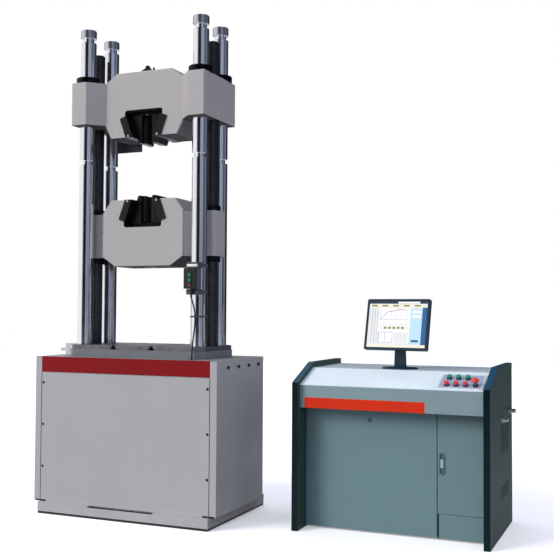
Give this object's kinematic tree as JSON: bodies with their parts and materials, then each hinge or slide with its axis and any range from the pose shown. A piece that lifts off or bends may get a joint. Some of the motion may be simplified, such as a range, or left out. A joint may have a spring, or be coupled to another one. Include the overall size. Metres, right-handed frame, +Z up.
{
  "type": "universal testing machine",
  "caption": "Four-column hydraulic testing frame with wedge grips, a screw-driven lower crosshead and a hand pendant, beside a sloped-desk control console with a screen.",
  "frame": {"origin": "on the floor under the load axis of the machine, midway between the four columns", "axes": "+Z up along the load axis, +X to the right towards the console, -Y to the front where the operator stands"},
  "size_m": [2.456, 0.859, 2.656],
  "materials": {
    "plinth_grey": "satin grey paint",
    "panel_light_grey": "light grey textured powder coat",
    "strip_red": "dark red semi-gloss paint",
    "screw_black": "black oxide",
    "casting_grey": "primed casting",
    "cylinder_grey": "grey machine enamel",
    "motor_grey": "grey enamel",
    "sprocket_steel": "oiled steel",
    "ground_steel": "ground",
    "table_grey": "grey paint with a machined top",
    "column_chrome": "hard chrome, polished",
    "nut_black": "black oxide",
    "crosshead_grey": "light grey enamel",
    "black_oxide": "black oxide, oiled",
    "machined_steel": "milled",
    "bracket_white": "white paint",
    "bracket_grey": "dark grey paint",
    "pendant_black": "moulded, fine grain",
    "button_green": "glossy",
    "button_red": "glossy",
    "cable_black": "matt jacket",
    "screw_dark": "black, oiled thread",
    "console_dark": "dark blue-green textured powder coat",
    "desk_pale": "pale grey-white powder coat",
    "console_grey_teal": "grey-green powder coat",
    "lock_chrome": "plated",
    "plate_pale": "satin",
    "monitor_plastic": "moulded",
    "computer_case": "black satin"
  },
  "bodies": {
    "base": {"plinth": "plinth_grey", "cabinet_frame": "panel_light_grey", "front_panel": "panel_light_grey", "header_strip": "strip_red", "side_panels": "panel_light_grey", "rear_panel": "panel_light_grey", "deck_cover": "panel_light_grey", "panel_screws": "screw_black", "bed_plate": "casting_grey", "main_cylinder": "cylinder_grey", "screw_bearings": "casting_grey", "drive_motor": "motor_grey", "drive_chain": "sprocket_steel", "console_sides": "console_dark", "console_carcass": "console_dark", "console_desk": "desk_pale", "console_band": "console_grey_teal", "button_plate": "plate_pale", "monitor_stand": "monitor_plastic", "power_pack": "cylinder_grey", "computer": "computer_case"},
    "moving_frame": {"ram": "ground_steel", "worktable": "table_grey", "columns": "column_chrome", "column_nuts": "nut_black", "upper_crosshead": "crosshead_grey", "upper_guide_plates": "black_oxide", "upper_grip_cylinder": "nut_black", "stroke_bracket": "bracket_white", "pendant_bracket": "bracket_grey", "pendant_box": "pendant_black", "pendant_cable": "cable_black", "cable_glands": "pendant_black"},
    "upper_yoke": {"upper_jaw_yoke": "machined_steel"},
    "upper_left_jaw": {"upper_jaw_left": "black_oxide"},
    "upper_right_jaw": {"upper_jaw_right": "black_oxide"},
    "lower_frame": {"lower_crosshead": "crosshead_grey", "screw_nuts": "nut_black", "lower_guide_plates": "black_oxide", "lower_grip_cylinder": "nut_black"},
    "lower_yoke": {"lower_jaw_yoke": "machined_steel"},
    "lower_left_jaw": {"lower_jaw_left": "black_oxide"},
    "lower_right_jaw": {"lower_jaw_right": "black_oxide"},
    "left_screw": {"lead_screw_left": "screw_dark"},
    "right_screw": {"lead_screw_right": "screw_dark"},
    "motor_gear": {"motor_sprocket": "sprocket_steel"},
    "pendant_up": {"pendant_up_button": "button_green"},
    "pendant_down": {"pendant_down_button": "button_green"},
    "pendant_stop": {"pendant_stop_button": "button_red"},
    "large_door": {"big_door": "console_grey_teal"},
    "lock": {"door_lock": "lock_chrome"},
    "narrow_door": {"small_door": "console_grey_teal"},
    "pump_start": {"pump_start_button": "button_green"},
    "load_start": {"load_start_button": "button_green"},
    "clamp_start": {"clamp_start_button": "button_green"},
    "pump_stop": {"pump_stop_button": "button_red"},
    "load_stop": {"load_stop_button": "button_red"},
    "clamp_stop": {"clamp_stop_button": "button_red"},
    "stop_mushroom": {"emergency_stop": "button_red"},
    "screen_unit": {"monitor": "monitor_plastic"}
  },
  "joints": [
    {"name": "piston_stroke", "type": "slide", "parent": "base", "child": "moving_frame", "axis": [0, 0, 1], "range_m": [0, 0.2]},
    {"name": "left_screw_turn", "type": "hinge", "parent": "base", "child": "left_screw", "pos_m": [-0.365, 0, 0.3], "axis": [0, 0, 1], "range_deg": [-5142, 4628]},
    {"name": "right_screw_turn", "type": "hinge", "parent": "base", "child": "right_screw", "pos_m": [0.365, 0, 0.3], "axis": [0, 0, 1], "range_deg": [-5143, 4629]},
    {"name": "motor_turn", "type": "hinge", "parent": "base", "child": "motor_gear", "pos_m": [-0.23, -0.165, 0.2], "axis": [0, 0, 1], "range_deg": [-7912, 7121]},
    {"name": "crosshead_travel", "type": "slide", "parent": "base", "child": "lower_frame", "axis": [0, 0, 1], "range_m": [-0.18, 0.2]},
    {"name": "upper_clamp", "type": "slide", "parent": "moving_frame", "child": "upper_yoke", "axis": [0, 0, -1], "range_m": [0, 0.03]},
    {"name": "upper_left_jaw_slide", "type": "slide", "parent": "moving_frame", "child": "upper_left_jaw", "axis": [0.342, 0, -0.9397], "range_m": [0, 0.032]},
    {"name": "upper_right_jaw_slide", "type": "slide", "parent": "moving_frame", "child": "upper_right_jaw", "axis": [-0.342, 0, -0.9397], "range_m": [0, 0.032]},
    {"name": "lower_clamp", "type": "slide", "parent": "lower_frame", "child": "lower_yoke", "axis": [0, 0, 1], "range_m": [0, 0.03]},
    {"name": "lower_left_jaw_slide", "type": "slide", "parent": "lower_frame", "child": "lower_left_jaw", "axis": [0.342, 0, 0.9397], "range_m": [0, 0.032]},
    {"name": "lower_right_jaw_slide", "type": "slide", "parent": "lower_frame", "child": "lower_right_jaw", "axis": [-0.342, 0, 0.9397], "range_m": [0, 0.032]},
    {"name": "pendant_up_press", "type": "slide", "parent": "moving_frame", "child": "pendant_up", "axis": [0, 1, 0], "range_m": [0, 0.004], "stiffness_N_per_m": 400},
    {"name": "pendant_down_press", "type": "slide", "parent": "moving_frame", "child": "pendant_down", "axis": [0, 1, 0], "range_m": [0, 0.004], "stiffness_N_per_m": 400},
    {"name": "pendant_stop_press", "type": "slide", "parent": "moving_frame", "child": "pendant_stop", "axis": [0, 1, 0], "range_m": [0, 0.004], "stiffness_N_per_m": 400},
    {"name": "large_door_hinge", "type": "hinge", "parent": "base", "child": "large_door", "pos_m": [1.252, 0.011, 0.016], "axis": [1, 0, 0], "range_deg": [0, 88]},
    {"name": "lock_turn", "type": "hinge", "parent": "large_door", "child": "lock", "pos_m": [1.252, 0.006, 0.554], "axis": [0, 1, 0], "range_deg": [0, 90]},
    {"name": "narrow_door_hinge", "type": "hinge", "parent": "base", "child": "narrow_door", "pos_m": [1.821, 0.011, 0.35], "axis": [0, 0, 1], "range_deg": [0, 88]},
    {"name": "pump_start_press", "type": "slide", "parent": "base", "child": "pump_start", "axis": [0, 0.3722, -0.9281], "range_m": [0, 0.003], "stiffness_N_per_m": 400},
    {"name": "load_start_press", "type": "slide", "parent": "base", "child": "load_start", "axis": [0, 0.3722, -0.9281], "range_m": [0, 0.003], "stiffness_N_per_m": 400},
    {"name": "clamp_start_press", "type": "slide", "parent": "base", "child": "clamp_start", "axis": [0, 0.3722, -0.9281], "range_m": [0, 0.003], "stiffness_N_per_m": 400},
    {"name": "pump_stop_press", "type": "slide", "parent": "base", "child": "pump_stop", "axis": [0, 0.3722, -0.9281], "range_m": [0, 0.003], "stiffness_N_per_m": 400},
    {"name": "load_stop_press", "type": "slide", "parent": "base", "child": "load_stop", "axis": [0, 0.3722, -0.9281], "range_m": [0, 0.003], "stiffness_N_per_m": 400},
    {"name": "clamp_stop_press", "type": "slide", "parent": "base", "child": "clamp_stop", "axis": [0, 0.3722, -0.9281], "range_m": [0, 0.003], "stiffness_N_per_m": 400},
    {"name": "emergency_stop_press", "type": "slide", "parent": "base", "child": "stop_mushroom", "axis": [0, 0.3722, -0.9281], "range_m": [0, 0.003], "stiffness_N_per_m": 800},
    {"name": "screen_tilt", "type": "hinge", "parent": "base", "child": "screen_unit", "pos_m": [1.352, 0.205, 0.985], "axis": [0.9945, -0.1045, 0], "range_deg": [-7, 15]}
  ],
  "couplings": [
    {"joint": "crosshead_travel", "follows": "left_screw_turn", "m_per_rad": -0.0022282},
    {"joint": "right_screw_turn", "follows": "left_screw_turn", "ratio": 1},
    {"joint": "motor_turn", "follows": "left_screw_turn", "ratio": 1.5385},
    {"joint": "upper_left_jaw_slide", "follows": "upper_clamp", "ratio": 1.0642},
    {"joint": "upper_right_jaw_slide", "follows": "upper_clamp", "ratio": 1.0642},
    {"joint": "lower_left_jaw_slide", "follows": "lower_clamp", "ratio": 1.0642},
    {"joint": "lower_right_jaw_slide", "follows": "lower_clamp", "ratio": 1.0642}
  ]
}
